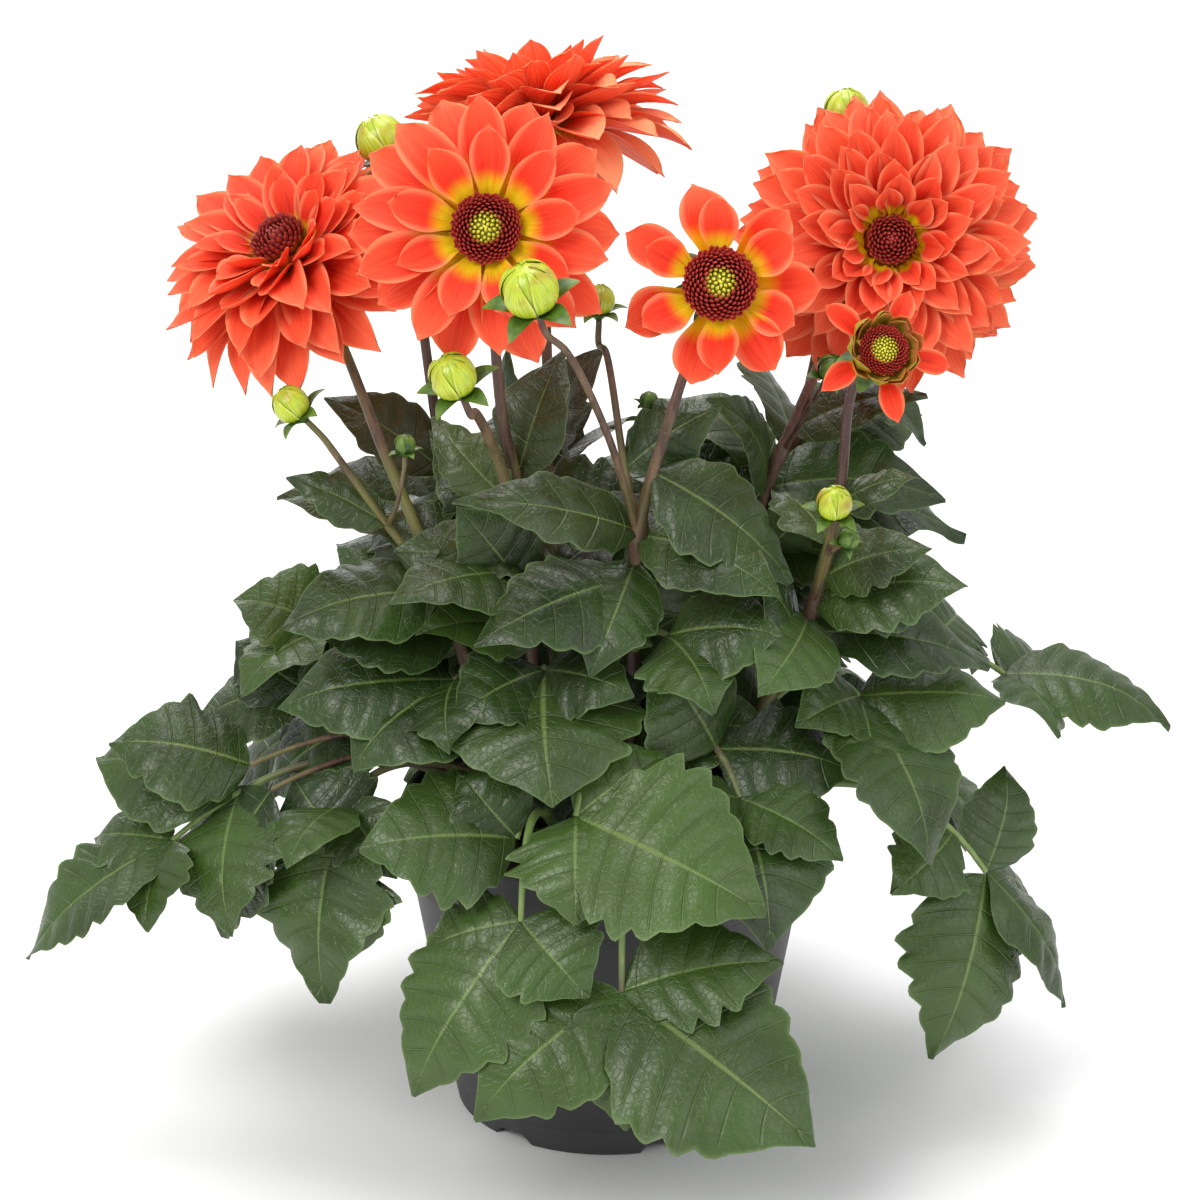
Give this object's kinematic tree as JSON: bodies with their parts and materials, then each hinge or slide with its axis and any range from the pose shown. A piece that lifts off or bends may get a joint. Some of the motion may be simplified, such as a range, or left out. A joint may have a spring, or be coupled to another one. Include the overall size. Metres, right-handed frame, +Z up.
{
  "type": "potted dahlia",
  "caption": "Flowering dahlia in a round nursery pot, with layered orange-red blooms, buds and toothed compound leaves",
  "frame": {"origin": "on the ground under the middle of the pot, which is also the middle of the plant's outline", "axes": "+Z up along the pot's axis, the front of the plant faces -Y, +X to the right as seen from the front"},
  "size_m": [0.528, 0.3591, 0.4988],
  "materials": {
    "pot": "satin moulded plastic",
    "soil": "rough crumbs with pale grains",
    "stem": "satin, purple brown turning green",
    "calyx": "satin",
    "petal": "velvety, orange red turning yellow at the foot",
    "disc": "matte florets",
    "bud": "glossy scales",
    "leaf": "satin, quilted by its veins"
  },
  "bodies": {
    "root": {"bloom_a_calyx": "calyx", "bloom_a_disc": "disc", "bloom_a_petals": "petal", "bloom_d_calyx": "calyx", "bloom_d_disc": "disc", "bloom_d_petals": "petal", "bloom_e_calyx": "calyx", "bloom_e_disc": "disc", "bloom_e_petals": "petal", "bloom_g_calyx": "calyx", "bloom_g_disc": "disc", "bloom_g_petals": "petal", "bloom_j_calyx": "calyx", "bloom_j_disc": "disc", "bloom_j_petals": "petal", "bloom_k_calyx": "calyx", "bloom_k_disc": "disc", "bloom_k_petals": "petal", "bud_01": "bud", "bud_02": "bud", "bud_03": "bud", "bud_04": "bud", "bud_05": "bud", "bud_06": "bud", "bud_07": "bud", "leaf_01": "leaf", "leaf_02": "leaf", "leaf_03": "leaf", "leaf_04": "leaf", "leaf_05": "leaf", "leaf_06": "leaf", "leaf_07": "leaf", "leaf_08": "leaf", "leaf_09": "leaf", "leaf_10": "leaf", "leaf_11": "leaf", "leaf_12": "leaf", "leaf_13": "leaf", "leaf_14": "leaf", "leaf_15": "leaf", "leaf_16": "leaf", "leaf_17": "leaf", "leaf_18": "leaf", "leaf_19": "leaf", "leaf_20": "leaf", "leaf_21": "leaf", "leaf_22": "leaf", "leaf_23": "leaf", "leaf_24": "leaf", "pot": "pot", "soil": "soil", "stem_01": "stem", "stem_02": "stem", "stem_03": "stem", "stem_04": "stem", "stem_05": "stem", "stem_06": "stem", "stem_07": "stem", "stem_08": "stem", "stem_09": "stem"}
  },
  "joints": []
}
